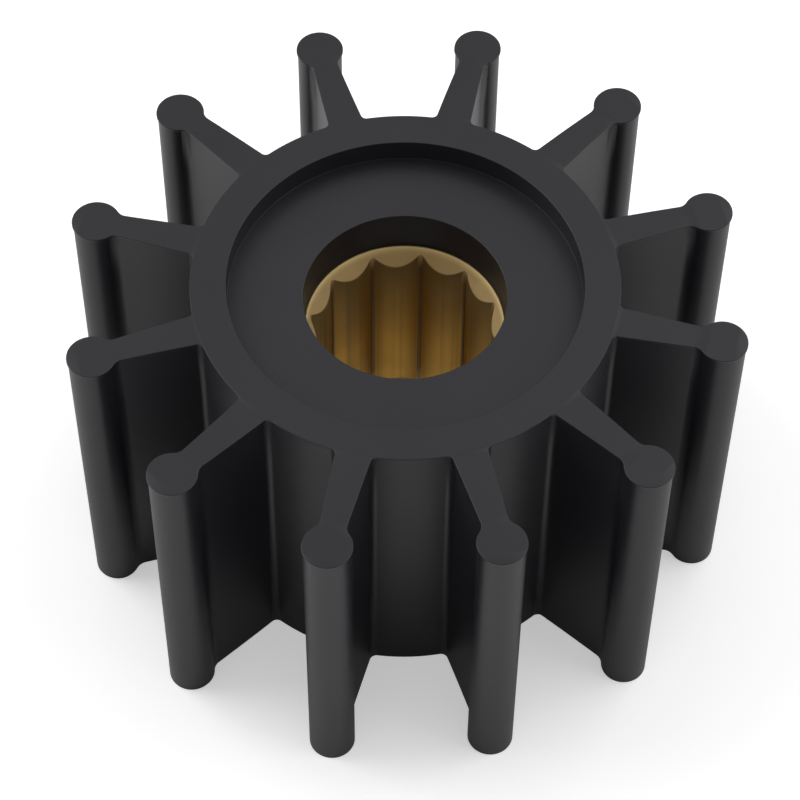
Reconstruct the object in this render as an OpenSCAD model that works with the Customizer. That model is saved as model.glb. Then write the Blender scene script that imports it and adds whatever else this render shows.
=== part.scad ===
// Flexible pump impeller: a moulded rubber wheel on a splined brass insert.
// The axis is Z, the lower end face lies at Z = 0 and one blade points along +X.
// All sizes are in millimetres.

/* [Wheel] */
// Diameter over the blade tips
tip_d = 57.2; // [54:0.1:64]
// Width between the two end faces
width = 31; // [27:0.5:45]
// Number of blades
blade_count = 12; // [6:1:13]

/* [Hub] */
// Diameter of the hub between the blades
hub_d = 35.5; // [32:0.1:38]
// Rubber left between the end recess and the outside of the hub
rim_wall = 2.9; // [1.5:0.1:5]
// Depth of the recess in each end face
recess_depth = 2.1; // [0.5:0.1:2.9]
// Radius in the corner at the foot of the recess wall
recess_corner = 0.2; // [0.1:0.05:0.45]

/* [Blades] */
// Blade thickness where it leaves the hub
root_t = 2.8; // [2.2:0.05:3.6]
// Blade thickness where its bulb begins
neck_t = 2; // [1.2:0.05:2.6]
// Diameter of the bulb along the blade's tip
bulb_d = 3.9; // [3.2:0.05:5]
// Radius of the fillet between blade and hub
root_fillet = 1; // [0.4:0.05:1.6]
// Radius of the fillet between blade and bulb
neck_fillet = 1.1; // [0.4:0.05:1.6]

/* [Spline] */
// Number of lobes in the spline
lobe_count = 12; // [10:1:14]
// Diameter at the roots between the lobes
major_d = 16.25; // [15.6:0.05:17]
// Diameter between the crests of facing lobes
minor_d = 14.8; // [14:0.05:15.3]
// Radius of a lobe's round crest
crest_r = 4.4; // [3:0.1:5]
// Angle from the first blade to the first lobe
spline_turn = -11.5; // [-15:0.5:15]

/* [Insert] */
// Length of the insert
insert_l = 19.8; // [12:0.1:20]
// How far the insert sits below the middle of the width
insert_drop = 0.45; // [0:0.05:0.5]
// Metal between the spline's roots and the outside of the insert
insert_wall = 2.25; // [1.6:0.05:3]
// Step from the spline's roots out to the wall of the mouth at its foot
mouth_step = 0.03; // [0.02:0.01:0.1]
// Widening of the mouth from its foot to the end face, on radius
mouth_flare = 0.17; // [0.05:0.01:0.3]
// Depth of the mouth at each end
mouth_depth = 0.7; // [0.3:0.05:1.2]
// Depth of the slope that ends each lobe, below the mouth
lead_depth = 1.05; // [0.5:0.05:1.5]
// Flat ledge of metal between the mouth and the rubber bore
mouth_ledge = 0.175; // [0.05:0.005:0.25]
// Number of grooves along the outside that key the rubber
groove_count = 12; // [6:1:14]
// Width radius of a key groove
groove_r = 1.5; // [1:0.1:2]
// Depth of a key groove
groove_depth = 0.6; // [0.3:0.05:0.8]

/* [Hidden] */
$fa = 3;
$fs = 0.35;
rubber_colour = [0.23, 0.23, 0.24];
brass_colour = [0.72, 0.57, 0.33];

// Places along a blade that lies on the X axis
hub_r = hub_d / 2;
bulb_r = bulb_d / 2;
bulb_x = tip_d / 2 - bulb_r;
neck_x = bulb_x - bulb_r;

// Each flank is a straight line that leans inwards towards the bulb
flank_slope = (root_t - neck_t) / 2 / (neck_x - hub_r);
flank_lean = atan(flank_slope);
flank_normal = [sin(flank_lean), cos(flank_lean)];

// A fillet's round bites this much into its two neighbours, so they cross and don't just touch
bite = 0.001;
// Cutters run past the faces they open by this much
past = 1;

// Insert and bore, all worked out from the spline
major_r = major_d / 2;
minor_r = minor_d / 2;
mouth_foot_r = major_r + mouth_step;
mouth_r = mouth_foot_r + mouth_flare;
bore_r = mouth_r + mouth_ledge;
insert_r = major_r + insert_wall;
insert_z = (width - insert_l) / 2 - insert_drop;
recess_r = hub_r - rim_wall;

// Half the blade's thickness at a distance x from the axis
function flank_y(x) = root_t / 2 - flank_slope * (x - hub_r);

// Centre of a fillet of radius r that rolls on the flank and on a round of radius round_r at x = round_x.
// side is 1 for the outer of the two places where that works, and -1 for the inner one.
function fillet_centre(r, round_x, round_r, side) =
    let (
        line_y = flank_y(0) + r / cos(flank_lean),
        a = 1 + pow(flank_slope, 2),
        b = round_x + flank_slope * line_y,
        c = pow(round_x, 2) + pow(line_y, 2) - pow(round_r + r, 2),
        x = (b + side * sqrt(pow(b, 2) - a * c)) / a
    )
    [x, line_y - flank_slope * x];

// The rubber that a fillet adds between the flank and a round; deep is a point inside both.
// The corners run anticlockwise on either side.
module fillet(r, round_x, round_r, side, deep) {
    centre = fillet_centre(r, round_x, round_r, side);
    on_flank = centre - r * flank_normal;
    to_round = [round_x, 0] - centre;
    on_round = centre + r * to_round / norm(to_round);
    difference() {
        polygon(side > 0 ? [centre, on_round, deep, on_flank] : [centre, on_flank, deep, on_round]);
        translate(centre) circle(r = r + bite);
    }
}

// One blade along +X: tapered web, bulb and the fillets of one flank, mirrored to the other
module blade_outline() {
    foot_x = hub_r - root_fillet;
    polygon([
        [foot_x, -flank_y(foot_x)], [bulb_x, -flank_y(bulb_x)],
        [bulb_x, flank_y(bulb_x)], [foot_x, flank_y(foot_x)]
    ]);
    translate([bulb_x, 0]) circle(r = bulb_r);
    for (flip = [0, 1]) {
        mirror([0, flip]) {
            fillet(root_fillet, 0, hub_r, 1, [foot_x, 0]);
            fillet(neck_fillet, bulb_x, bulb_r, -1, [bulb_x, 0]);
        }
    }
}

// Outline of the whole wheel: the hub's disc with its blades
module wheel_outline() {
    circle(r = hub_r);
    for (i = [0:blade_count - 1]) {
        rotate(i * 360 / blade_count) blade_outline();
    }
}

// Outside of the insert, with the grooves that key the rubber to it
module insert_outline() {
    rotate(spline_turn) difference() {
        circle(r = insert_r);
        for (i = [0:groove_count - 1]) {
            rotate(i * 360 / groove_count) translate([insert_r + groove_r - groove_depth, 0]) circle(r = groove_r);
        }
    }
}

// Opening of the spline: a round with lobes that reach in to the minor diameter
module spline_outline() {
    rotate(spline_turn) difference() {
        circle(r = major_r);
        for (i = [0:lobe_count - 1]) {
            rotate(i * 360 / lobe_count) translate([minor_r + crest_r, 0]) circle(r = crest_r);
        }
    }
}

// Cutter for one end recess: its mouth faces +Z at height 0
module recess_cutter() {
    floor_r = recess_r - recess_corner;
    wall_h = recess_depth - recess_corner;
    rotate_extrude() {
        translate([0, -recess_depth]) square([floor_r, recess_depth + past]);
        translate([0, -wall_h]) square([recess_r, wall_h + past]);
        translate([floor_r, -wall_h]) circle(r = recess_corner);
    }
}

// Cutter for one mouth of the insert: a steep wall, then the slope that ends the lobes
module mouth_cutter() {
    lead_z = -mouth_depth - lead_depth;
    rotate_extrude() polygon([
        [0, past], [mouth_r, past], [mouth_r, 0], [mouth_foot_r, -mouth_depth],
        [minor_r, lead_z], [0, lead_z]
    ]);
}

// Puts its children at both ends of a length, each facing outwards
module both_ends(length) {
    translate([0, 0, length]) children();
    mirror([0, 0, 1]) children();
}

module impeller_body() {
    color(rubber_colour) difference() {
        linear_extrude(width) wheel_outline();
        translate([0, 0, -past]) cylinder(r = bore_r, h = width + 2 * past);
        both_ends(width) recess_cutter();
        translate([0, 0, insert_z]) linear_extrude(insert_l) insert_outline();
    }
}

module spline_insert() {
    color(brass_colour) translate([0, 0, insert_z]) difference() {
        linear_extrude(insert_l) insert_outline();
        translate([0, 0, -past]) linear_extrude(insert_l + 2 * past) spline_outline();
        both_ends(insert_l) mouth_cutter();
    }
}

impeller_body();
spline_insert();
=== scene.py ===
"""A flexible pump impeller: a moulded rubber wheel with twelve blades on a splined brass insert.

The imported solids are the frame. The wheel and the insert are built round them with rounded edges, and
get their finishes. Lengths are in millimetres here and become metres when a mesh is made.
"""

import logging
import math
from collections.abc import Callable, Iterable, Sequence
from dataclasses import dataclass, field
from enum import Enum

import bpy
from mathutils import Matrix, Vector


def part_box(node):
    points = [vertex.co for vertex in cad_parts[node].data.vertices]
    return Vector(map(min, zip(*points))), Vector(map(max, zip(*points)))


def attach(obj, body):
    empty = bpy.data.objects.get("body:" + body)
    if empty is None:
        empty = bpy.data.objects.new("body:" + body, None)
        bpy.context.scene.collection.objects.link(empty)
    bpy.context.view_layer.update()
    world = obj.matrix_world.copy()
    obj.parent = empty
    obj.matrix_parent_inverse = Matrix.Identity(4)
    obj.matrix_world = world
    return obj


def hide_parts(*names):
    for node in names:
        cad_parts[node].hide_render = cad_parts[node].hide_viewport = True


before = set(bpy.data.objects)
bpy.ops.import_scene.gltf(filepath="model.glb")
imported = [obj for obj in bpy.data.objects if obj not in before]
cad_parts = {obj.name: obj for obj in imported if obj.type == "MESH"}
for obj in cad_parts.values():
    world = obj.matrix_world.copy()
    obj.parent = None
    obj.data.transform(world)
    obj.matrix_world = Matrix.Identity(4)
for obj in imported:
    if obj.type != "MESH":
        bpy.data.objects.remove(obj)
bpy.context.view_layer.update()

MM = 0.001
BODY = "root"
Point = tuple[float, float, float]
Colour = tuple[float, float, float]
log = logging.getLogger("impeller")


def node_box(node: str) -> tuple[Vector, Vector]:
    """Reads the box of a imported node.

    Args:
        node: Name of the node.

    Returns:
        Its lowest and highest corner in millimetres.
    """
    low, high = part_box(node)
    return low / MM, high / MM


def opaque(colour: Colour) -> tuple[float, float, float, float]:
    """Returns a colour with full alpha."""
    return (*colour, 1.0)


class Facing(Enum):
    """Which side of a curve holds the material: inside it, or outside it as round a hollow."""

    BULGE = 1
    HOLLOW = -1


@dataclass(frozen=True)
class EdgePoint:
    """A point of an outline, with the direction that faces out of the material there."""

    x: float
    y: float
    out_x: float
    out_y: float

    def inset(self, depth: float, z: float) -> Point:
        """Moves the point into the material by a depth, and to a height."""
        return self.x - depth * self.out_x, self.y - depth * self.out_y, z

    def mirrored(self) -> "EdgePoint":
        """Returns the point on the other side of the X axis."""
        return EdgePoint(self.x, -self.y, self.out_x, -self.out_y)


def spread(low: float, high: float, count: int) -> list[float]:
    """Returns evenly spaced values from low to high, both included."""
    return [low + (high - low) * i / count for i in range(count + 1)]


def arc(centre: tuple[float, float], radius: float, start: float, end: float, steps: int,
        facing: Facing) -> list[EdgePoint]:
    """Samples a stretch of a circle as outline points.

    Args:
        centre: Centre of the circle.
        radius: Its radius.
        start: Angle of the first point in radians.
        end: Angle of the last point in radians.
        steps: Number of stretches between the points.
        facing: Which side of the circle holds the material.

    Returns:
        The points from start to end, both included.
    """
    points = []
    for angle in spread(start, end, steps):
        x = math.cos(angle)
        y = math.sin(angle)
        points.append(EdgePoint(
            centre[0] + radius * x, centre[1] + radius * y, facing.value * x, facing.value * y,
        ))
    return points


def rounding(steps: int) -> list[tuple[float, float]]:
    """Gives a rounded edge's inset and depth as shares of its radius, from the face to the side."""
    turns = spread(0, math.pi / 2, steps)
    return [(1 - math.sin(turn), 1 - math.cos(turn)) for turn in turns]


def with_corners(angles: Iterable[float], corners: Iterable[float], gap: float) -> list[float]:
    """Adds corner angles to a row of angles and drops those that lie close to a corner.

    Args:
        angles: The even row, whose two ends always stay.
        corners: Angles that have to be in the row.
        gap: Least distance to a corner.

    Returns:
        All angles in rising order.
    """
    even = list(angles)
    kept = [a for a in even if a in (even[0], even[-1]) or all(abs(a - c) > gap for c in corners)]
    return sorted(kept + list(corners))


class Shell:
    """Collects the faces of a mesh in millimetres and welds the points that meet."""

    WELD = 1e-4

    def __init__(self) -> None:
        """Starts with no points and no faces."""
        self.points: list[Point] = []
        self.faces: list[list[int]] = []
        self.known: dict[tuple[int, ...], int] = {}

    def number(self, point: Point) -> int:
        """Returns the number of a point, adding it if it is new."""
        key = tuple(round(value / self.WELD) for value in point)
        if key not in self.known:
            self.known[key] = len(self.points)
            self.points.append(point)
        return self.known[key]

    def face(self, corners: Sequence[Point], flip: bool = False) -> None:
        """Adds one face.

        Args:
            corners: Its corners, anticlockwise seen from outside.
            flip: True where the corners run the other way.
        """
        numbers: list[int] = []
        for corner in corners:
            number = self.number(corner)
            if number not in numbers:
                numbers.append(number)
        if len(numbers) > 2:
            self.faces.append(numbers[::-1] if flip else numbers)

    def strips(self, rows: Sequence[Sequence[Point]]) -> None:
        """Adds the quads between rows that run anticlockwise and climb along the outside."""
        for lower, upper in zip(rows, rows[1:]):
            for i in range(len(lower) - 1):
                self.face([lower[i], lower[i + 1], upper[i + 1], upper[i]])

    def mesh(self, name: str) -> bpy.types.Mesh:
        """Makes the mesh in metres, shaded smooth.

        Args:
            name: Name of the mesh.

        Returns:
            The new mesh.
        """
        mesh = bpy.data.meshes.new(name)
        mesh.from_pydata([tuple(MM * value for value in point) for point in self.points], [], self.faces)
        mesh.shade_smooth()
        return mesh


def place(mesh: bpy.types.Mesh, name: str) -> bpy.types.Object:
    """Puts a mesh in the scene as an object at the origin.

    Args:
        mesh: The mesh, in the row frame.
        name: Name of the object.

    Returns:
        The new object.
    """
    piece = bpy.data.objects.new(name, mesh)
    bpy.context.scene.collection.objects.link(piece)
    return piece


class Tree:
    """Short calls to build a node tree of any kind."""

    def __init__(self, tree: bpy.types.NodeTree) -> None:
        """Wraps a tree and takes its nodes away."""
        self.tree = tree
        self.tree.nodes.clear()

    @staticmethod
    def socket(sockets: Sequence[bpy.types.NodeSocket], key: str | int) -> bpy.types.NodeSocket:
        """Finds a socket in use, by its name or by its place among those in use."""
        live = [socket for socket in sockets if socket.enabled]
        return live[key] if isinstance(key, int) else next(s for s in live if s.name == key)

    def node(self, kind: str, inputs: dict | None = None, **settings: object) -> bpy.types.Node:
        """Adds a node.

        Args:
            kind: Blender's name of the node type.
            inputs: Values or sockets for its inputs, by name or place.
            settings: Values for the node's own properties.

        Returns:
            The new node.
        """
        node = self.tree.nodes.new(kind)
        for name, value in settings.items():
            setattr(node, name, value)
        for key, value in (inputs or {}).items():
            self.feed(self.socket(node.inputs, key), value)
        return node

    def value(self, kind: str, inputs: dict | None = None, **settings: object) -> bpy.types.NodeSocket:
        """Adds a node and returns its first output in use; takes what node takes."""
        return self.socket(self.node(kind, inputs, **settings).outputs, 0)

    def feed(self, socket: bpy.types.NodeSocket, value: object) -> None:
        """Links a socket to another one, or sets its value."""
        if isinstance(value, bpy.types.NodeSocket):
            self.tree.links.new(value, socket)
        else:
            socket.default_value = value

    def math(self, operation: str, *values: object) -> bpy.types.NodeSocket:
        """Adds a sum of one or more values and returns its result."""
        return self.value("ShaderNodeMath", dict(enumerate(values)), operation=operation)

    def vector(self, operation: str, *values: object) -> bpy.types.NodeSocket:
        """Adds a sum of vectors and returns its result."""
        return self.value("ShaderNodeVectorMath", dict(enumerate(values)), operation=operation)

    def mapped(self, value: object, start: object, end: object, low: object = 0.0,
               high: object = 1.0) -> bpy.types.NodeSocket:
        """Maps a value from the range start to end onto the range low to high."""
        return self.value("ShaderNodeMapRange", {
            "Value": value, "From Min": start, "From Max": end, "To Min": low, "To Max": high,
        })

    def mixed(self, share: object, first: object, second: object,
              blend: str = "MIX") -> bpy.types.NodeSocket:
        """Mixes two colours by a share and returns the result."""
        return self.value("ShaderNodeMix", {"Factor": share, "A": first, "B": second},
                          data_type="RGBA", blend_type=blend)

    def entry(self, name: str, kind: str, value: object = None) -> None:
        """Adds a named input to the tree, with its first value."""
        socket = self.tree.interface.new_socket(name=name, in_out="INPUT", socket_type=kind)
        if value is not None:
            socket.default_value = value

    def result(self, name: str, kind: str) -> None:
        """Adds a named output to the tree."""
        self.tree.interface.new_socket(name=name, in_out="OUTPUT", socket_type=kind)


@dataclass(frozen=True)
class Ring:
    """A Geometry Nodes tree that sets copies of one sector round the Z axis and welds them.

    Each copy gets a chance value for its lean, which moves what lies beyond the hub sideways, and those
    near one side of the ring are a little shorter, as in a mould that isn't quite true. Both grow with a
    share to the power of bend.
    """

    copies: int
    hub_r: float
    tip_r: float
    lean: float = 0.0
    shortness: float = 0.0
    short_side: float = 0.0
    bend: float = 2.0
    seed: int = 1
    weld: float = 0.0005

    def build(self, sector: bpy.types.Mesh, name: str, material: bpy.types.Material) -> bpy.types.Object:
        """Runs the tree on a sector.

        Args:
            sector: The sector's mesh.
            name: Name of the finished piece.
            material: Material that the tree sets.

        Returns:
            A plain mesh object with no modifier.
        """
        start = place(sector, name + "_sector")
        modifier = start.modifiers.new("ring", "NODES")
        modifier.node_group = self.tree(name + "_ring")
        values = {
            "Copies": self.copies, "Hub Radius": self.hub_r * MM, "Tip Radius": self.tip_r * MM,
            "Lean": self.lean * MM, "Shortness": self.shortness * MM, "Short Side": self.short_side,
            "Bend": self.bend, "Seed": self.seed, "Weld": self.weld * MM, "Material": material,
        }
        for item in modifier.node_group.interface.items_tree:
            if item.name in values:
                modifier[item.identifier] = values[item.name]
        graph = bpy.context.evaluated_depsgraph_get()
        mesh = bpy.data.meshes.new_from_object(start.evaluated_get(graph), depsgraph=graph)
        start.modifiers.remove(modifier)
        bpy.data.objects.remove(start)
        return place(mesh, name)

    def tree(self, name: str) -> bpy.types.NodeTree:
        """Builds the tree.

        Args:
            name: Name of the tree.

        Returns:
            The new tree.
        """
        tree = Tree(bpy.data.node_groups.new(name, "GeometryNodeTree"))
        tree.entry("Sector", "NodeSocketGeometry")
        tree.entry("Copies", "NodeSocketInt")
        for size in ("Hub Radius", "Tip Radius", "Lean", "Shortness", "Short Side", "Bend", "Weld"):
            tree.entry(size, "NodeSocketFloat")
        tree.entry("Seed", "NodeSocketInt")
        tree.entry("Material", "NodeSocketMaterial")
        tree.result("Ring", "NodeSocketGeometry")
        given = tree.node("NodeGroupInput").outputs
        moved = tree.value("GeometryNodeSetPosition", {
            "Geometry": self.welded_copies(tree, given), "Offset": self.offset(tree, given),
        })
        plain = tree.value("GeometryNodeRemoveAttribute", {"Geometry": moved, "Name": "shift"})
        dressed = tree.value("GeometryNodeSetMaterial", {"Geometry": plain, "Material": given["Material"]})
        tree.node("NodeGroupOutput", {"Ring": dressed})
        return tree.tree

    def welded_copies(self, tree: Tree, given: bpy.types.NodeOutputs) -> bpy.types.NodeSocket:
        """Adds the nodes that set the copies round the axis and weld them to one mesh.

        Args:
            tree: The tree being built.
            given: Outputs of its Group Input node.

        Returns:
            The socket with the welded mesh.
        """
        step = tree.math("DIVIDE", math.tau, given["Copies"])
        turn = tree.math("MULTIPLY", step, tree.value("GeometryNodeInputIndex"))
        copies = tree.value("GeometryNodeInstanceOnPoints", {
            "Points": tree.value("GeometryNodePoints", {"Count": given["Copies"]}),
            "Instance": given["Sector"],
            "Rotation": tree.value("ShaderNodeCombineXYZ", {"Z": turn}),
        })
        lean = tree.value("FunctionNodeRandomValue", {
            "Min": tree.math("MULTIPLY", given["Lean"], -1.0), "Max": given["Lean"], "Seed": given["Seed"],
        }, data_type="FLOAT")
        off_side = tree.math("COSINE", tree.math("SUBTRACT", turn, given["Short Side"]))
        nearness = tree.math("POWER", tree.mapped(off_side, -1.0, 1.0), given["Bend"])
        lack = tree.math("MULTIPLY", given["Shortness"], nearness)
        marked = tree.value("GeometryNodeStoreNamedAttribute", {
            "Geometry": copies, "Name": "shift", "Value": tree.value("ShaderNodeCombineXYZ", {
                "X": lack, "Y": lean,
            }),
        }, data_type="FLOAT_VECTOR", domain="INSTANCE")
        real = tree.value("GeometryNodeRealizeInstances", {"Geometry": marked})
        return tree.value("GeometryNodeMergeByDistance", {"Geometry": real, "Distance": given["Weld"]})

    def offset(self, tree: Tree, given: bpy.types.NodeOutputs) -> bpy.types.NodeSocket:
        """Adds the nodes that work out how far each point moves round the axis and towards it.

        Args:
            tree: The tree being built.
            given: Outputs of its Group Input node.

        Returns:
            The socket with the offset.
        """
        flat = tree.vector("MULTIPLY", tree.value("GeometryNodeInputPosition"), (1.0, 1.0, 0.0))
        radius = tree.vector("LENGTH", flat)
        share = tree.mapped(radius, given["Hub Radius"], given["Tip Radius"])
        shift = tree.value("GeometryNodeInputNamedAttribute", {"Name": "shift"}, data_type="FLOAT_VECTOR")
        parts = tree.node("ShaderNodeSeparateXYZ", {"Vector": shift}).outputs
        inwards = tree.vector("NORMALIZE", tree.vector("SCALE", flat, -1.0))
        around = tree.vector("CROSS_PRODUCT", inwards, (0.0, 0.0, 1.0))
        lean = tree.math("MULTIPLY", tree.math("POWER", share, given["Bend"]), parts["Y"])
        lack = tree.math("MULTIPLY", share, parts["X"])
        return tree.vector("ADD", tree.vector("SCALE", around, lean), tree.vector("SCALE", inwards, lack))


def keep_flats(piece: bpy.types.Object, crease: float) -> None:
    """Keeps flat faces flat beside rounded edges, and creases sharp.

    Args:
        piece: The piece, whose mesh is final.
        crease: Angle in degrees above which an edge stays sharp.
    """
    piece.data.set_sharp_from_angle(angle=math.radians(crease))
    weighted = piece.modifiers.new("flat_faces", "WEIGHTED_NORMAL")
    weighted.keep_sharp = True
    weighted.weight = 100


def shade_group(name: str, fill: Callable[[Tree], None]) -> bpy.types.NodeTree:
    """Returns a shader node group that materials share, built at the first call.

    Args:
        name: Name of the group.
        fill: Function that fills the group's tree.

    Returns:
        The group.
    """
    group = bpy.data.node_groups.get(name)
    if group is None:
        group = bpy.data.node_groups.new(name, "ShaderNodeTree")
        fill(Tree(group))
    return group


def drifting_tone(tree: Tree) -> None:
    """Fills a group in which a colour drifts to a second one in soft clouds.

    Args:
        tree: The group's tree.
    """
    tree.entry("Colour", "NodeSocketColor")
    tree.entry("Second Colour", "NodeSocketColor")
    tree.entry("Cloud Size", "NodeSocketFloat", 0.01)
    tree.entry("Softness", "NodeSocketFloat", 0.5)
    tree.result("Colour", "NodeSocketColor")
    tree.result("Mask", "NodeSocketFloat")
    given = tree.node("NodeGroupInput").outputs
    here = tree.node("ShaderNodeTexCoord").outputs["Object"]
    clouds = tree.value("ShaderNodeTexNoise", {
        "Vector": here, "Scale": tree.math("DIVIDE", 1.0, given["Cloud Size"]), "Detail": 4.0,
        "Roughness": 0.55,
    })
    half = tree.math("MULTIPLY", given["Softness"], 0.5)
    mask = tree.mapped(clouds, tree.math("SUBTRACT", 0.5, half), tree.math("ADD", 0.5, half))
    tree.node("NodeGroupOutput", {
        0: tree.mixed(mask, given["Colour"], given["Second Colour"]), "Mask": mask,
    })


def fine_grain(tree: Tree) -> None:
    """Fills a group with the fine grain of a cut or moulded surface: even dots or long lines.

    Args:
        tree: The group's tree.
    """
    tree.entry("Grain Size", "NodeSocketFloat", 0.0003)
    tree.entry("Stretch", "NodeSocketVector", (1.0, 1.0, 1.0))
    tree.result("Height", "NodeSocketFloat")
    given = tree.node("NodeGroupInput").outputs
    here = tree.node("ShaderNodeTexCoord").outputs["Object"]
    drawn = tree.vector("DIVIDE", here, given["Stretch"])
    tree.node("NodeGroupOutput", {"Height": tree.value("ShaderNodeTexNoise", {
        "Vector": drawn, "Scale": tree.math("DIVIDE", 1.0, given["Grain Size"]), "Detail": 3.0,
        "Roughness": 0.6,
    })})


def ring_share(tree: Tree) -> None:
    """Fills a group that says how far a point lies between two radii round the Z axis.

    Args:
        tree: The group's tree.
    """
    tree.entry("Inner Radius", "NodeSocketFloat")
    tree.entry("Outer Radius", "NodeSocketFloat")
    tree.result("Share", "NodeSocketFloat")
    given = tree.node("NodeGroupInput").outputs
    here = tree.node("ShaderNodeTexCoord").outputs["Object"]
    radius = tree.vector("LENGTH", tree.vector("MULTIPLY", here, (1.0, 1.0, 0.0)))
    share = tree.mapped(radius, given["Inner Radius"], given["Outer Radius"])
    tree.node("NodeGroupOutput", {"Share": share})


def group_node(tree: Tree, name: str, fill: Callable[[Tree], None], inputs: dict) -> bpy.types.NodeOutputs:
    """Places a shared group in a material.

    Args:
        tree: The material's tree.
        name: Name of the group.
        fill: Function that fills the group when it is first used.
        inputs: Values or sockets for the group's inputs, by name.

    Returns:
        The outputs of the new node.
    """
    return tree.node("ShaderNodeGroup", inputs, node_tree=shade_group(name, fill)).outputs


def new_material(name: str) -> tuple[bpy.types.Material, Tree]:
    """Makes a material with an empty tree.

    Args:
        name: Name of the material.

    Returns:
        The material and its tree.
    """
    material = bpy.data.materials.new(name)
    material.use_nodes = True
    return material, Tree(material.node_tree)


@dataclass(frozen=True)
class MouldedRubber:
    """Black rubber as it leaves the mould: satin, with faint clouds and a very fine grain."""

    colour: Colour = (0.0095, 0.0095, 0.0125)
    second_colour: Colour = (0.0135, 0.0135, 0.0175)
    cloud_size: float = 14.0
    cloud_softness: float = 0.6
    roughness: tuple[float, float] = (0.36, 0.44)
    grain_size: float = 0.35
    grain_depth: float = 0.006

    def material(self) -> bpy.types.Material:
        """Builds the material."""
        material, tree = new_material("moulded_rubber")
        tone = group_node(tree, "drifting_tone", drifting_tone, {
            "Colour": opaque(self.colour), "Second Colour": opaque(self.second_colour),
            "Cloud Size": self.cloud_size * MM, "Softness": self.cloud_softness,
        })
        grain = group_node(tree, "fine_grain", fine_grain, {"Grain Size": self.grain_size * MM})
        bump = tree.value("ShaderNodeBump", {
            "Strength": 1.0, "Distance": self.grain_depth * MM, "Height": grain["Height"],
        })
        shader = tree.value("ShaderNodeBsdfPrincipled", {
            "Base Color": tone["Colour"], "Roughness": tree.mapped(tone["Mask"], 0.0, 1.0, *self.roughness),
            "Normal": bump,
        })
        tree.node("ShaderNodeOutputMaterial", {"Surface": shader})
        return material


@dataclass(frozen=True)
class BroachedBrass:
    """Brass with a broach's long lines and streaks, painted shade and grime at the roots, painted shade at
    the top, pale mouths with a painted highlight.
    """

    colour: Colour = (0.84, 0.51, 0.095)
    second_colour: Colour = (0.74, 0.455, 0.088)
    streak_colour: Colour = (0.52, 0.325, 0.078)
    # Painted shade and grime in the spline's roots.
    root_shade_and_grime_colour: Colour = (0.21, 0.13, 0.048)
    # Painted shade: the wall grows darker towards the top.
    top_shade_colour: Colour = (0.26, 0.20, 0.088)
    # The ledge round each mouth is painted dark.
    ledge_colour: Colour = (0.08, 0.06, 0.03)
    # Turned mouths: paler brass, painted brighter towards the outer edge as a highlight.
    slope_colour: Colour = (0.72, 0.55, 0.28)
    rim_highlight_colour: Colour = (0.97, 0.78, 0.40)
    cloud_size: float = 5.0
    cloud_softness: float = 0.5
    metallic: float = 0.85
    roughness: tuple[float, float] = (0.52, 0.60)
    mouth_roughness: float = 0.65
    root_band: float = 0.10
    rim_highlight_power: float = 1.5
    streak_width: float = 0.7
    streak_range: tuple[float, float] = (0.48, 0.66)
    line_width: float = 0.10
    line_length: float = 400.0
    line_depth: float = 0.004

    def material(self, root_r: float, mouth_r: float, ledge_r: float) -> bpy.types.Material:
        """Builds the material.

        Args:
            root_r: Radius of the spline's roots.
            mouth_r: Radius of the mouths at the end faces.
            ledge_r: Radius at which the ledge round a mouth is painted fully dark.

        Returns:
            The material.
        """
        material, tree = new_material("broached_brass")
        tone = group_node(tree, "drifting_tone", drifting_tone, {
            "Colour": opaque(self.colour), "Second Colour": opaque(self.second_colour),
            "Cloud Size": self.cloud_size * MM, "Softness": self.cloud_softness,
        })
        root = group_node(tree, "ring_share", ring_share, {
            "Inner Radius": (root_r - self.root_band) * MM, "Outer Radius": root_r * MM,
        })
        mouth = group_node(tree, "ring_share", ring_share, {
            "Inner Radius": root_r * MM, "Outer Radius": mouth_r * MM,
        })
        ledge = group_node(tree, "ring_share", ring_share, {
            "Inner Radius": mouth_r * MM, "Outer Radius": ledge_r * MM,
        })
        streaks = group_node(tree, "fine_grain", fine_grain, {
            "Grain Size": self.streak_width * MM, "Stretch": (1.0, 1.0, self.line_length),
        })
        lines = group_node(tree, "fine_grain", fine_grain, {
            "Grain Size": self.line_width * MM, "Stretch": (1.0, 1.0, self.line_length),
        })
        bump = tree.value("ShaderNodeBump", {
            "Strength": 1.0, "Distance": self.line_depth * MM, "Height": lines["Height"],
        })
        # Full at the upper mouth, less at the lower mouth as painted shade.
        turned = tree.node("ShaderNodeAttribute", attribute_name="turned").outputs["Fac"]
        painted_top_shade = tree.node("ShaderNodeAttribute", attribute_name="painted_top_shade").outputs["Fac"]
        streaked = tree.mixed(tree.mapped(streaks["Height"], *self.streak_range), tone["Colour"],
                              opaque(self.streak_colour))
        # Painted shade: the wall is darker towards the top, where it mirrors the dark rubber bore.
        top_shaded = tree.mixed(painted_top_shade, streaked, opaque(self.top_shade_colour))
        # Painted shade and grime darken the spline's roots.
        wall = tree.mixed(root["Share"], top_shaded, opaque(self.root_shade_and_grime_colour))
        # Painted highlight: the turned mouth brightens towards its outer edge.
        bright = tree.math("POWER", mouth["Share"], self.rim_highlight_power)
        cut = tree.mixed(bright, opaque(self.slope_colour), opaque(self.rim_highlight_colour))
        # The ledge round the mouth is painted dark.
        rimmed = tree.mixed(ledge["Share"], cut, opaque(self.ledge_colour))
        drawn = tree.mapped(tone["Mask"], 0.0, 1.0, *self.roughness)
        shader = tree.value("ShaderNodeBsdfPrincipled", {
            "Base Color": tree.mixed(turned, wall, rimmed), "Metallic": self.metallic,
            "Roughness": tree.mapped(turned, 0.0, 1.0, drawn, self.mouth_roughness), "Normal": bump,
        })
        tree.node("ShaderNodeOutputMaterial", {"Surface": shader})
        return material


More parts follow.
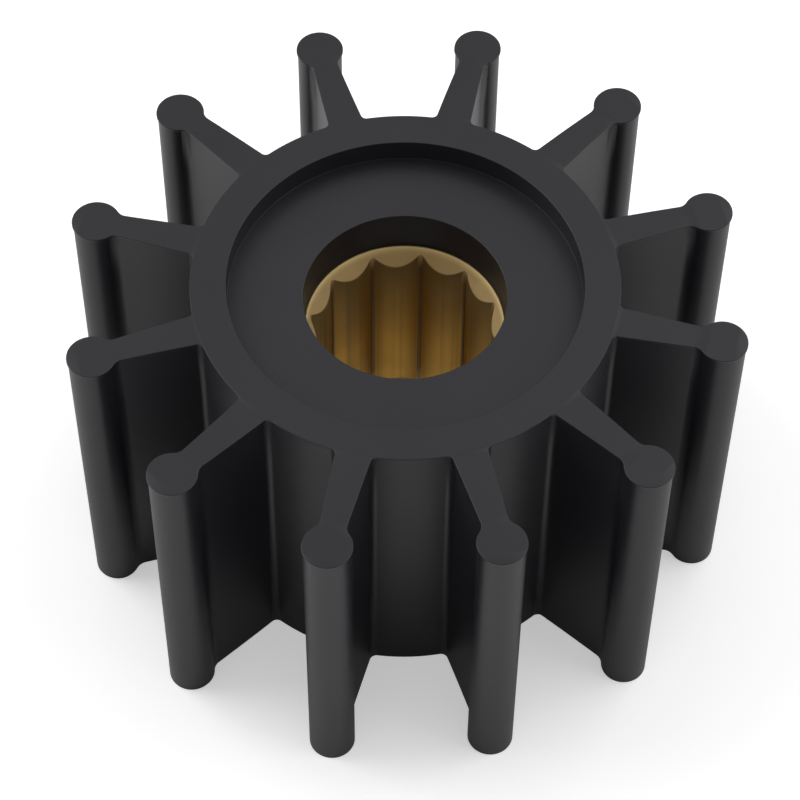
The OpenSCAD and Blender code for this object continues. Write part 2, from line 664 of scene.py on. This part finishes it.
@dataclass
class SplineInsert:
    """The brass insert: twelve round lobes inside, a mouth at each end, key grooves outside."""

    lobe_count: int = 12
    turn: float = math.radians(-11.5)
    major_r: float = 8.125
    minor_r: float = 7.4
    crest_r: float = 4.4
    wall: float = 2.25
    mouth_step: float = 0.03
    mouth_flare: float = 0.17
    mouth_depth: float = 0.7
    lead_depth: float = 1.05
    mouth_ledge: float = 0.175
    groove_r: float = 1.5
    groove_depth: float = 0.6
    crease: float = 0.06
    top_shade_share: float = 0.85
    top_shade_depth: float = 10.0
    # The lower mouth keeps less of the pale turned colour, as painted shade deep in the bore.
    shaded_lower_share: float = 0.4
    crest_steps: int = 14
    wall_rows: int = 10
    finish: BroachedBrass = field(default_factory=BroachedBrass)

    def __post_init__(self) -> None:
        """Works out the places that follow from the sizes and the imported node."""
        low, high = node_box("spline_insert")
        self.low_z = low.z
        self.high_z = high.z
        self.mouth_foot_r = self.major_r + self.mouth_step
        self.mouth_r = self.mouth_foot_r + self.mouth_flare
        self.lip = self.mouth_ledge / 2
        self.bore_r = self.mouth_r + self.mouth_ledge
        self.outer_r = self.major_r + self.wall
        self.step = math.tau / self.lobe_count
        self.crest_x = self.minor_r + self.crest_r
        self.groove_x = self.outer_r + self.groove_r - self.groove_depth
        self.lobe_half = self.crossing(self.major_r, self.crest_x, self.crest_r)
        self.groove_half = self.crossing(self.outer_r, self.groove_x, self.groove_r)

    @staticmethod
    def crossing(ring_r: float, centre_x: float, round_r: float) -> float:
        """Gives the angle at which a round centred on the X axis crosses a ring round the origin."""
        return math.acos((ring_r**2 + centre_x**2 - round_r**2) / (2 * ring_r * centre_x))

    @staticmethod
    def near_side(angle: float, centre_x: float, round_r: float) -> float:
        """Gives the radius at which a ray at an angle meets the near side of such a round."""
        reach = max(round_r**2 - (centre_x * math.sin(angle)) ** 2, 0.0)
        return centre_x * math.cos(angle) - math.sqrt(reach)

    def local(self, angle: float) -> float:
        """Turns an angle of the wheel into one from the nearest lobe."""
        return (angle - self.turn + self.step / 2) % self.step - self.step / 2

    def inside(self, angle: float) -> float:
        """Radius of the spline at an angle from the nearest lobe."""
        if abs(angle) >= self.lobe_half:
            return self.major_r
        return self.near_side(angle, self.crest_x, self.crest_r)

    def outside(self, angle: float) -> float:
        """Radius of the outer wall at an angle from the nearest lobe."""
        if abs(angle) >= self.groove_half:
            return self.outer_r
        return self.near_side(angle, self.groove_x, self.groove_r)

    def slope_z(self, radius: float) -> float:
        """Height of the slope that ends the lobes, at a radius."""
        share = (self.mouth_foot_r - radius) / (self.mouth_foot_r - self.minor_r)
        return self.high_z - self.mouth_depth - share * self.lead_depth

    def upper_profile(self, angle: float) -> list[tuple[float, float]]:
        """Lists radius and height from the outer wall over the upper mouth to the spline's wall.

        Args:
            angle: Angle from the middle of the lobe.

        Returns:
            The points of the profile.
        """
        wall_r = self.inside(angle)
        turn_in = min(self.crease, (self.mouth_foot_r - wall_r) / 2)
        return [
            (self.outside(angle), self.high_z),
            (self.mouth_r + self.lip, self.high_z),
            (self.mouth_r, self.high_z - self.lip),
            (self.mouth_foot_r, self.high_z - self.mouth_depth),
            (wall_r + turn_in, self.slope_z(wall_r + turn_in)),
            (wall_r, self.slope_z(wall_r) - turn_in),
        ]

    def profile(self, angle: float) -> list[tuple[float, float]]:
        """Lists radius and height all round the insert's section, back to the first point.

        Args:
            angle: Angle from the middle of the lobe.

        Returns:
            The points of the profile.
        """
        upper = self.upper_profile(angle)
        lower = [(r, self.low_z + self.high_z - z) for r, z in reversed(upper)]
        wall = [(upper[-1][0], z) for z in spread(upper[-1][1], lower[0][1], self.wall_rows)]
        return [*upper, *wall[1:-1], *lower, upper[0]]

    def sector(self) -> bpy.types.Mesh:
        """Builds one lobe with its share of the outer wall.

        Returns:
            The sector's mesh.
        """
        even = spread(-self.step / 2, self.step / 2, self.crest_steps)
        corners = [-self.lobe_half, -self.groove_half, self.groove_half, self.lobe_half]
        columns = with_corners(even, corners, self.step / self.crest_steps / 3)
        shell = Shell()
        profiles = [self.profile(angle) for angle in columns]
        rows = []
        for k in range(len(profiles[0])):
            row = []
            for angle, profile in zip(columns, profiles):
                radius, z = profile[k]
                row.append((radius * math.cos(angle + self.turn), radius * math.sin(angle + self.turn), z))
            rows.append(row)
        shell.strips(rows)
        mesh = shell.mesh("lobe")
        self.mark_mouths(mesh)
        return mesh

    def mark_mouths(self, mesh: bpy.types.Mesh) -> None:
        """Stores where the mouths were turned, less at the lower one as painted shade, and the painted shade
        that fades below the upper one.

        Args:
            mesh: The sector's mesh.
        """
        turned = mesh.attributes.new("turned", "FLOAT", "POINT")
        painted_top_shade = mesh.attributes.new("painted_top_shade", "FLOAT", "POINT")
        for number, vertex in enumerate(mesh.vertices):
            x, y, z = vertex.co / MM
            radius = math.hypot(x, y)
            below = self.slope_z(radius) - z
            above = z - (self.low_z + self.high_z - self.slope_z(radius))
            # Painted shade: darker near the upper mouth, fading over the depth below it.
            painted_top_shade.data[number].value = self.top_shade_share * max(1 - below / self.top_shade_depth, 0.0)
            if below < self.crease / 2:
                turned.data[number].value = 1.0
            # The lower mouth gets less of the turned colour, as painted shade.
            elif above < self.crease / 2:
                turned.data[number].value = self.shaded_lower_share

    def build(self) -> bpy.types.Object:
        """Builds the whole insert and dresses it.

        Returns:
            The finished piece.
        """
        material = self.finish.material(self.major_r, self.mouth_r, self.mouth_r + self.lip)
        ring = Ring(copies=self.lobe_count, hub_r=self.outer_r, tip_r=2 * self.outer_r)
        piece = ring.build(self.sector(), "brass_insert", material)
        keep_flats(piece, crease=50.0)
        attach(piece, BODY)
        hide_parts("spline_insert")
        return piece


@dataclass
class RubberWheel:
    """The moulded wheel: hub, end recesses, bore, the insert's seat, and blades with round bulbs.

    A lip of flash runs round the upper outline. The wall turns out to it between flash_start and flash_foot,
    which are both measured down from the upper face.
    """

    insert: SplineInsert
    blade_count: int = 12
    hub_r: float = 17.75
    rim_wall: float = 2.9
    recess_depth: float = 2.1
    recess_corner: float = 0.03
    root_t: float = 2.8
    neck_t: float = 2.0
    bulb_r: float = 1.95
    root_fillet: float = 0.6
    neck_fillet: float = 1.1
    edge_r: float = 0.06
    edge_steps: int = 3
    flash: float = 0.11
    flash_start: float = 0.33
    flash_foot: float = 0.198
    taper: float = 0.18
    arc_steps: int = 12
    column_steps: int = 12
    side_rows: int = 6
    lean: float = 0.276
    reach: float = 0.08
    shortness: float = 0.34
    short_side: float = math.radians(94)
    seed: int = 367265
    finish: MouldedRubber = field(default_factory=MouldedRubber)

    def __post_init__(self) -> None:
        """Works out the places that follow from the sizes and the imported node."""
        low, high = node_box("impeller_body")
        self.tip_r = high.x + self.reach
        self.width = high.z - low.z
        self.bulb_x = self.tip_r - self.bulb_r
        self.neck_x = self.bulb_x - self.bulb_r
        self.recess_r = self.hub_r - self.rim_wall
        self.slope = (self.root_t - self.neck_t) / 2 / (self.neck_x - self.hub_r)
        self.lean_angle = math.atan(self.slope)
        self.half_step = math.pi / self.blade_count

    def flank_y(self, x: float) -> float:
        """Half the blade's thickness at a distance from the axis."""
        return self.root_t / 2 - self.slope * (x - self.hub_r)

    def fillet_centre(self, radius: float, round_x: float, round_r: float, side: int) -> tuple[float, float]:
        """Finds the centre of a fillet that rolls on the flank and on a round.

        Args:
            radius: Radius of the fillet.
            round_x: Place of the round's centre along the blade.
            round_r: Radius of the round.
            side: 1 for the outer of the two places where that works, and -1 for the inner one.

        Returns:
            The centre.
        """
        line_y = self.flank_y(0) + radius / math.cos(self.lean_angle)
        a = 1 + self.slope**2
        b = round_x + self.slope * line_y
        c = round_x**2 + line_y**2 - (round_r + radius) ** 2
        x = (b + side * math.sqrt(b**2 - a * c)) / a
        return x, line_y - self.slope * x

    def half_outline(self) -> tuple[list[EdgePoint], int]:
        """Samples the outline from the middle between two blades to a blade's tip.

        Returns:
            The points, clockwise, and the number of the point where the blade's fillet leaves the hub.
        """
        flank_angle = -math.pi / 2 - self.lean_angle
        out_x = math.sin(self.lean_angle)
        out_y = math.cos(self.lean_angle)
        root = self.fillet_centre(self.root_fillet, 0, self.hub_r, 1)
        neck = self.fillet_centre(self.neck_fillet, self.bulb_x, self.bulb_r, -1)
        root_angle = math.atan2(root[1], root[0])
        neck_angle = math.atan2(neck[1], neck[0] - self.bulb_x)
        hub = arc((0, 0), self.hub_r, self.half_step, root_angle, self.arc_steps // 2, Facing.BULGE)
        leave = arc(root, self.root_fillet, root_angle - math.pi, flank_angle, self.arc_steps, Facing.HOLLOW)
        join = arc(neck, self.neck_fillet, flank_angle, neck_angle - math.pi, self.arc_steps, Facing.HOLLOW)
        bulb = arc((self.bulb_x, 0), self.bulb_r, neck_angle, 0, 2 * self.arc_steps, Facing.BULGE)
        flank = [
            EdgePoint(x, self.flank_y(x), out_x, out_y)
            for x in spread(leave[-1].x, join[0].x, self.side_rows)
        ]
        return [*hub, *leave[1:], *flank[1:-1], *join, *bulb[1:]], len(hub) - 1

    def columns(self) -> list[float]:
        """Lists the angles at which the round hub is sampled, with the corners of the seat's ridges."""
        ridge = self.insert.groove_half
        corners = [
            angle for turn in (-self.insert.step, 0.0, self.insert.step) for side in (-ridge, ridge)
            if abs(angle := self.insert.turn + turn + side) < self.half_step
        ]
        even = spread(-self.half_step, self.half_step, self.column_steps)
        return with_corners(even, corners, self.half_step / self.column_steps / 2)

    def ring_row(self, radius: float, z: float) -> list[Point]:
        """Lists a sector's points on one circle, anticlockwise."""
        return [(radius * math.cos(a), radius * math.sin(a), z) for a in self.columns()]

    def seat_row(self, z: float) -> list[Point]:
        """Lists a sector's points on the wall that holds the insert."""
        row = []
        for angle in self.columns():
            radius = self.insert.outside(self.insert.local(angle))
            row.append((radius * math.cos(angle), radius * math.sin(angle), z))
        return row

    def side_point(self, point: EdgePoint, inset: float, z: float) -> Point:
        """Gives a point of the outer wall, with the flash at the upper end and the tip's taper to the lower.

        Args:
            point: Point of the outline.
            inset: How far the edge's rounding lies inside the wall.
            z: Height.

        Returns:
            The point of the wall.
        """
        if z > self.width - (self.flash_start + self.flash_foot) / 2:
            inset -= self.flash
        along = min(max((point.x - self.hub_r) / (self.bulb_x - self.hub_r), 0.0), 1.0)
        x, y, _ = point.inset(inset, z)
        return x - self.taper * along * (1 - z / self.width), y, z

    def add_side(self, shell: Shell, outline: list[EdgePoint]) -> None:
        """Adds the outer wall with its two rounded edges.

        Args:
            shell: Where the faces go.
            outline: Outline of the sector, anticlockwise.
        """
        edge = [(self.edge_r * inset, self.edge_r * depth) for inset, depth in rounding(self.edge_steps)]
        straight = spread(self.edge_r, self.width - self.flash_start, self.side_rows)
        levels = [*edge, *((0.0, z) for z in straight[1:])]
        levels.append((0.0, self.width - self.flash_foot))
        levels += [(inset, self.width - depth) for inset, depth in reversed(edge)]
        shell.strips([[self.side_point(point, inset, z) for point in outline] for inset, z in levels])

    def add_end(self, shell: Shell, outline: list[EdgePoint], leave: int, z: float) -> None:
        """Adds one flat end face: a ladder of quads over the blade and one face over the hub's rim.

        Args:
            shell: Where the faces go.
            outline: Outline of the sector, anticlockwise.
            leave: Number of the point where the first fillet leaves the hub.
            z: Height of the face.
        """
        flip = z < self.width / 2
        edge = [self.side_point(point, self.edge_r, z) for point in outline]
        last = len(edge) - 1
        for i in range(leave, last // 2):
            self.add_quad(shell, edge, i, last - i, flip)
        rim = self.ring_row(self.recess_r + self.edge_r, z)
        shell.face([*edge[:leave + 1], *edge[last - leave:], *reversed(rim)], flip)

    @staticmethod
    def add_quad(shell: Shell, edge: list[Point], i: int, j: int, flip: bool) -> None:
        """Adds the quad between two facing stretches of a blade's edge."""
        shell.face([edge[i], edge[i + 1], edge[j - 1], edge[j]], flip)

    def inner_rows(self, seat_z: float) -> list[list[Point]]:
        """Lists the rows from the upper recess's rim through the bore to the end of the insert's seat.

        Args:
            seat_z: Height at which the seat ends.

        Returns:
            The rows, from the top down.
        """
        soft = [(self.edge_r * inset, self.edge_r * depth) for inset, depth in rounding(self.edge_steps)]
        floor_z = self.width - self.recess_depth
        corner_z = floor_z + self.recess_corner
        corner_r = self.recess_r - self.recess_corner
        rows = [self.ring_row(self.recess_r + inset, self.width - depth) for inset, depth in soft]
        for turn in spread(0, math.pi / 2, self.edge_steps):
            rows.append(self.ring_row(corner_r + self.recess_corner * math.cos(turn),
                                      corner_z - self.recess_corner * math.sin(turn)))
        bore_r = self.insert.bore_r
        rows += [self.ring_row(bore_r + inset, floor_z - depth) for inset, depth in soft]
        return [*rows, self.ring_row(bore_r, seat_z), self.seat_row(seat_z)]

    def sector(self) -> bpy.types.Mesh:
        """Builds one blade with its share of the hub.

        Returns:
            The sector's mesh.
        """
        half, leave = self.half_outline()
        outline = [point.mirrored() for point in half] + half[-2::-1]
        shell = Shell()
        self.add_side(shell, outline)
        self.add_end(shell, outline, leave, self.width)
        self.add_end(shell, outline, leave, 0.0)
        upper = self.inner_rows(self.insert.high_z)
        turned = self.inner_rows(self.width - self.insert.low_z)
        lower = [[(x, y, self.width - z) for x, y, z in row] for row in reversed(turned)]
        shell.strips([*upper, *lower])
        return shell.mesh("blade")

    def build(self) -> bpy.types.Object:
        """Builds the whole wheel and dresses it.

        Returns:
            The finished piece.
        """
        ring = Ring(copies=self.blade_count, hub_r=self.hub_r, tip_r=self.bulb_x, lean=self.lean,
                    shortness=self.shortness, short_side=self.short_side, seed=self.seed)
        piece = ring.build(self.sector(), "rubber_wheel", self.finish.material())
        keep_flats(piece, crease=60.0)
        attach(piece, BODY)
        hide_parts("impeller_body")
        return piece


@dataclass(frozen=True)
class Viewpoint:
    """The camera, placed round the middle of the wheel's upper face."""

    focal: float = 140.53
    sensor: float = 36.0
    distance: float = 258.27
    turn: float = math.radians(12.881)
    elevation: float = math.radians(54.797)
    roll: float = math.radians(-0.610)
    slide_x: float = 0.445
    slide_y: float = 9.870
    clip_start: float = 0.01
    clip_end: float = 10.0

    def build(self, target: Vector) -> bpy.types.Object:
        """Makes the camera and sets it as the scene's own.

        Args:
            target: Middle of the upper face in millimetres.

        Returns:
            The camera.
        """
        data = bpy.data.cameras.new("viewpoint")
        data.lens = self.focal
        data.sensor_width = self.sensor
        data.clip_start = self.clip_start
        data.clip_end = self.clip_end
        camera = bpy.data.objects.new("viewpoint", data)
        bpy.context.scene.collection.objects.link(camera)
        right = Vector((1.0, 0.0, 0.0))
        up = Vector((0.0, math.sin(self.elevation), math.cos(self.elevation)))
        ahead = Vector((0.0, math.cos(self.elevation), -math.sin(self.elevation)))
        tilted = right * math.cos(self.roll) - up * math.sin(self.roll)
        upright = right * math.sin(self.roll) + up * math.cos(self.roll)
        away = self.slide_x * tilted + self.slide_y * upright + self.distance * ahead
        axes = Matrix((tilted, upright, -ahead)).transposed()
        turn = Matrix.Rotation(self.turn, 3, "Z")
        camera.matrix_world = Matrix.Translation((target - turn @ away) * MM) @ (turn @ axes).to_4x4()
        bpy.context.scene.camera = camera
        return camera


@dataclass(frozen=True)
class SoftLight:
    """A square soft lamp that looks at the middle of the wheel."""

    name: str
    turn: float
    elevation: float
    distance: float
    side: float
    watts: float

    def build(self, target: Vector) -> bpy.types.Object:
        """Makes the lamp.

        Args:
            target: Point in millimetres that the lamp looks at.

        Returns:
            The lamp.
        """
        data = bpy.data.lights.new(self.name, "AREA")
        data.shape = "SQUARE"
        data.size = self.side * MM
        data.energy = self.watts
        lamp = bpy.data.objects.new(self.name, data)
        bpy.context.scene.collection.objects.link(lamp)
        turn = math.radians(self.turn)
        rise = math.radians(self.elevation)
        back = Vector((math.sin(turn) * math.cos(rise), -math.cos(turn) * math.cos(rise), math.sin(rise)))
        lamp.location = (target + back * self.distance) * MM
        lamp.rotation_euler = back.to_track_quat("Z", "Y").to_euler()
        return lamp


@dataclass(frozen=True)
class Studio:
    """A pale floor under an even sky and four soft lamps."""

    floor_r: float = 3000.0
    floor_colour: Colour = (0.9, 0.9, 0.9)
    floor_glow: float = 0.42
    bore_glow: float = 0.55
    bore_glow_r: float = 12.0
    glow_depth: float = 1.5
    sky: float = 0.52
    lights: tuple[SoftLight, ...] = (
        SoftLight("top_light", turn=180.0, elevation=57.0, distance=600.0, side=700.0, watts=0.37),
        SoftLight("left_light", turn=-95.0, elevation=42.0, distance=600.0, side=420.0, watts=1.55),
        SoftLight("right_light", turn=95.0, elevation=42.0, distance=600.0, side=420.0, watts=0.65),
        SoftLight("back_light", turn=140.0, elevation=42.0, distance=600.0, side=420.0, watts=0.61),
    )

    def build(self, target: Vector) -> None:
        """Makes the floor, the surroundings and the lamps.

        Args:
            target: Point in millimetres that the lamps look at.
        """
        shell = Shell()
        corner = self.floor_r
        shell.face([(-corner, -corner, 0.0), (corner, -corner, 0.0), (corner, corner, 0.0),
                    (-corner, corner, 0.0)])
        floor = place(shell.mesh("floor"), "floor")
        floor.data.materials.append(self.floor_material())
        self.surround()
        for light in self.lights:
            light.build(target)

    def floor_material(self) -> bpy.types.Material:
        """Builds the floor's material: matt, white to the camera, and bright where seen brass mirrors it."""
        material, tree = new_material("pale_floor")
        matt = tree.value("ShaderNodeBsdfDiffuse", {"Color": opaque(self.floor_colour)})
        ray = tree.node("ShaderNodeLightPath").outputs
        aside = group_node(tree, "ring_share", ring_share, {
            "Inner Radius": 0.0, "Outer Radius": self.bore_glow_r * MM,
        })["Share"]
        first = tree.math("LESS_THAN", ray["Ray Depth"], self.glow_depth)
        glossy = tree.math("MULTIPLY", ray["Is Glossy Ray"], first)
        # Painted reflection: the floor under the bore glows for the first glossy rays only, so the brass
        # walls mirror a bright floor.
        mirrored = tree.math("MULTIPLY", glossy, tree.mapped(aside, 0.0, 1.0, self.bore_glow, 0.0))
        seen = tree.math("MULTIPLY", ray["Is Camera Ray"], self.floor_glow)
        glow = tree.value("ShaderNodeEmission", {"Strength": tree.math("ADD", seen, mirrored)})
        tree.node("ShaderNodeOutputMaterial", {"Surface": tree.value("ShaderNodeAddShader", {
            0: matt, 1: glow,
        })})
        return material

    def surround(self) -> None:
        """Builds the surroundings: white to the camera, and an even sky of light to everything else."""
        world = bpy.data.worlds.new("soft_surroundings")
        bpy.context.scene.world = world
        world.use_nodes = True
        tree = Tree(world.node_tree)
        seen = tree.node("ShaderNodeLightPath").outputs["Is Camera Ray"]
        tree.node("ShaderNodeOutputWorld", {"Surface": tree.value("ShaderNodeBackground", {
            "Strength": tree.math("MAXIMUM", seen, self.sky),
        })})


def main() -> None:
    """Builds the pieces in order, then the studio and the camera."""
    logging.basicConfig(level=logging.INFO, format="%(name)s: %(message)s")
    insert = SplineInsert()
    wheel = RubberWheel(insert=insert)
    for maker in (insert, wheel):
        piece = maker.build()
        log.info("%s has %d faces", piece.name, len(piece.data.polygons))
    top = Vector((0.0, 0.0, wheel.width))
    Studio().build(top / 2)
    Viewpoint().build(top)
    bpy.context.scene.view_settings.view_transform = "Standard"


if __name__ == "__main__":
    main()
